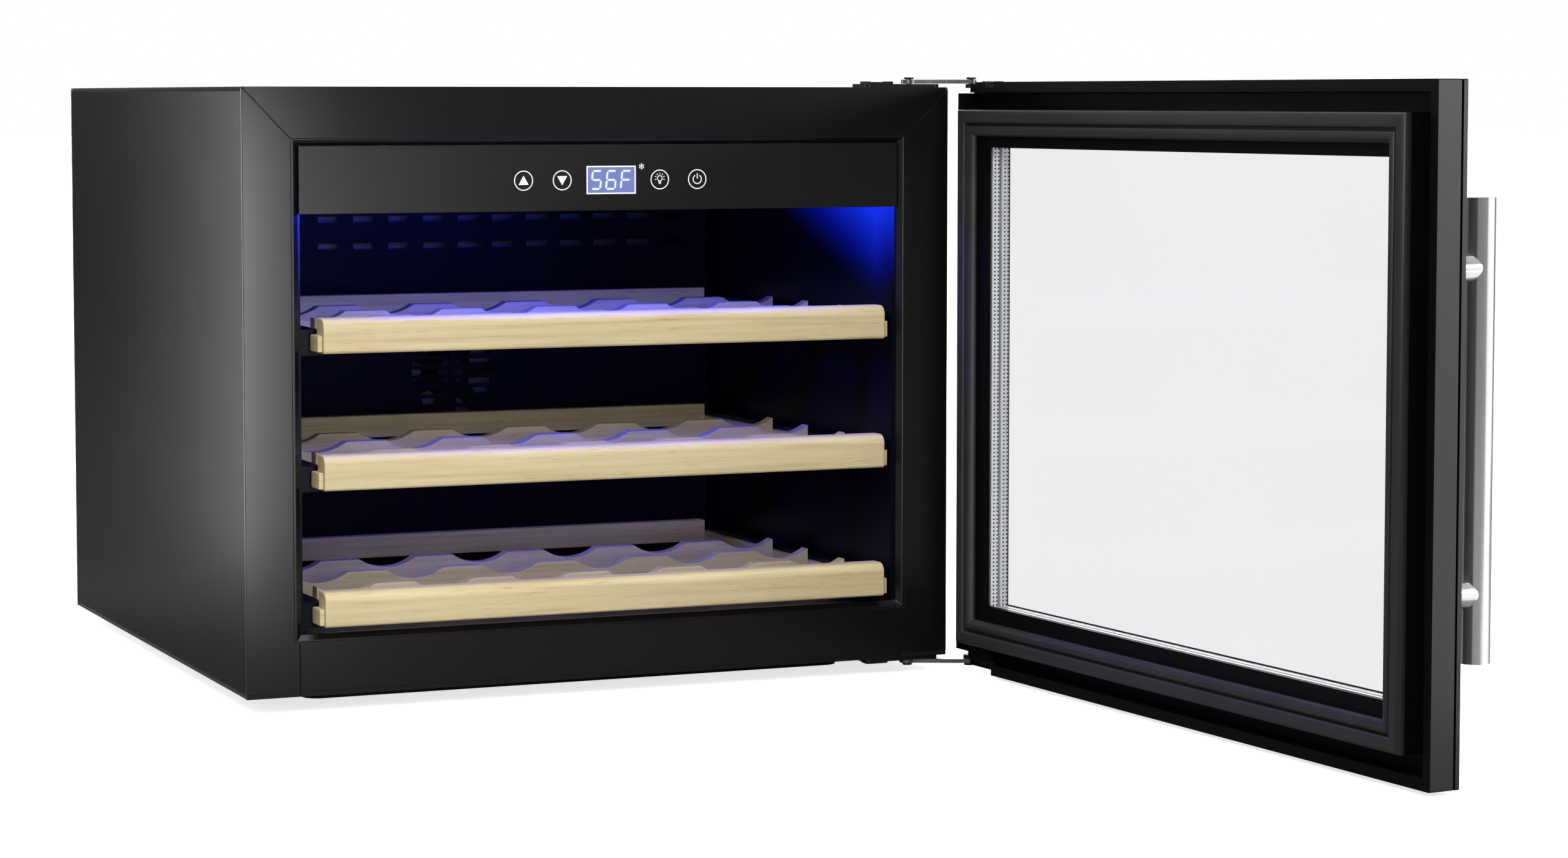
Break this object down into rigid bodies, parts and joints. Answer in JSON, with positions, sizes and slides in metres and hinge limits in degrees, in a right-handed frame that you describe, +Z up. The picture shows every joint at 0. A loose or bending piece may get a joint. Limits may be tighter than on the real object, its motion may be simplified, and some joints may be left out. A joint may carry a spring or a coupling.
{
  "type": "wine cooler",
  "caption": "Compact built-in wine cooler with slide-out wooden shelves, a glazed door on link hinges with a bar handle, and a touch strip.",
  "frame": {"origin": "on the floor under the centre of the cabinet, in the plane of the plinth's underside", "axes": "+Z up, the front of the cabinet faces -Y, +X to the right seen from the front"},
  "size_m": [0.6715, 1.1281, 0.4576],
  "materials": {
    "painted_black": "satin",
    "galvanised": "satin",
    "bright_steel": "satin",
    "polished_handle": "polished",
    "black_plastic": "matte",
    "liner_plastic": "satin",
    "gloss_panel": "gloss",
    "display": "gloss",
    "board_green": "satin",
    "lens_plastic": "gloss",
    "foam": "matte",
    "roll_bond": "satin",
    "compressor_black": "satin",
    "black_wire": "satin",
    "soft_rubber": "matte",
    "tray_plastic": "matte",
    "beech": "satin",
    "door_grey": "matte",
    "clear_glass": "gloss",
    "black_tape": "matte",
    "spacer_bar": "satin",
    "gasket_grey": "matte",
    "screw_steel": "satin"
  },
  "bodies": {
    "cabinet": {"outer_shell": "painted_black", "base_pan": "painted_black", "plinth_frame": "black_plastic", "frame_top_rail": "painted_black", "frame_left_stile": "painted_black", "frame_right_stile": "painted_black", "frame_bottom_rail": "painted_black", "stile_caps": "black_plastic", "opening_trim": "painted_black", "liner": "liner_plastic", "insulation_foam": "foam", "rear_bulkhead": "galvanised", "back_panel": "galvanised", "power_inlet": "black_plastic", "control_panel": "gloss_panel", "display_window": "display", "control_board": "board_green", "light_lens": "lens_plastic", "duct_cover": "liner_plastic", "evaporator": "roll_bond", "circulation_fan_motor": "black_plastic", "compressor": "compressor_black", "compressor_grommets": "soft_rubber", "drip_tray": "tray_plastic", "condenser": "black_wire", "cooling_fan_shroud": "black_plastic", "main_board": "board_green", "shelf_runners_left": "liner_plastic", "shelf_runners_right": "liner_plastic", "bracket_screws": "painted_black", "hinge_bracket_top": "painted_black", "hinge_bracket_bottom": "painted_black"},
    "hinge_arm_top": {"hinge_arm_top": "bright_steel"},
    "hinge_arm_bottom": {"hinge_arm_bottom": "bright_steel"},
    "door": {"door_frame": "door_grey", "outer_glass": "clear_glass", "glass_tape": "black_tape", "middle_pane": "clear_glass", "inner_pane": "clear_glass", "glazing_spacers": "spacer_bar", "door_gasket": "gasket_grey", "handle_tube": "polished_handle", "handle_caps": "polished_handle", "handle_posts": "polished_handle", "handle_screws": "screw_steel", "leaf_screws": "screw_steel", "hinge_leaf_top": "bright_steel", "hinge_leaf_bottom": "bright_steel"},
    "shelf_bottom": {"shelf_bottom_front": "beech", "shelf_bottom_rails": "beech", "shelf_bottom_slats": "beech"},
    "shelf_middle": {"shelf_middle_front": "beech", "shelf_middle_rails": "beech", "shelf_middle_slats": "beech"},
    "shelf_top": {"shelf_top_front": "beech", "shelf_top_rails": "beech", "shelf_top_slats": "beech"},
    "circulation_fan": {"circulation_fan": "black_plastic"},
    "cooling_fan": {"cooling_fan": "black_plastic"}
  },
  "joints": [
    {"name": "arm_top_swing", "type": "hinge", "parent": "cabinet", "child": "hinge_arm_top", "pos_m": [0.25, -0.258, 0.4543], "axis": [0, 0, 1], "range_deg": [-15.7, 2]},
    {"name": "door_swing", "type": "hinge", "parent": "hinge_arm_top", "child": "door", "pos_m": [0.29315, -0.27812, 0.4543], "axis": [0, 0, 1], "range_deg": [-78.5, 10]},
    {"name": "arm_bottom_swing", "type": "hinge", "parent": "cabinet", "child": "hinge_arm_bottom", "pos_m": [0.25, -0.258, 0.0082], "axis": [0, 0, 1], "range_deg": [-15.7, 2]},
    {"name": "shelf_bottom_slide", "type": "slide", "parent": "cabinet", "child": "shelf_bottom", "axis": [0, -1, 0], "range_m": [0, 0.22]},
    {"name": "shelf_middle_slide", "type": "slide", "parent": "cabinet", "child": "shelf_middle", "axis": [0, -1, 0], "range_m": [0, 0.22]},
    {"name": "shelf_top_slide", "type": "slide", "parent": "cabinet", "child": "shelf_top", "axis": [0, -1, 0], "range_m": [0, 0.22]},
    {"name": "circulation_fan_spin", "type": "hinge", "parent": "cabinet", "child": "circulation_fan", "pos_m": [0, 0.1045, 0.215], "axis": [0, 1, 0], "continuous": true},
    {"name": "cooling_fan_spin", "type": "hinge", "parent": "cabinet", "child": "cooling_fan", "pos_m": [0.06, 0.2025, 0.092], "axis": [0, 1, 0], "continuous": true}
  ],
  "couplings": [
    {"joint": "arm_top_swing", "follows": "door_swing", "ratio": 0.2},
    {"joint": "arm_bottom_swing", "follows": "door_swing", "ratio": 0.2}
  ]
}
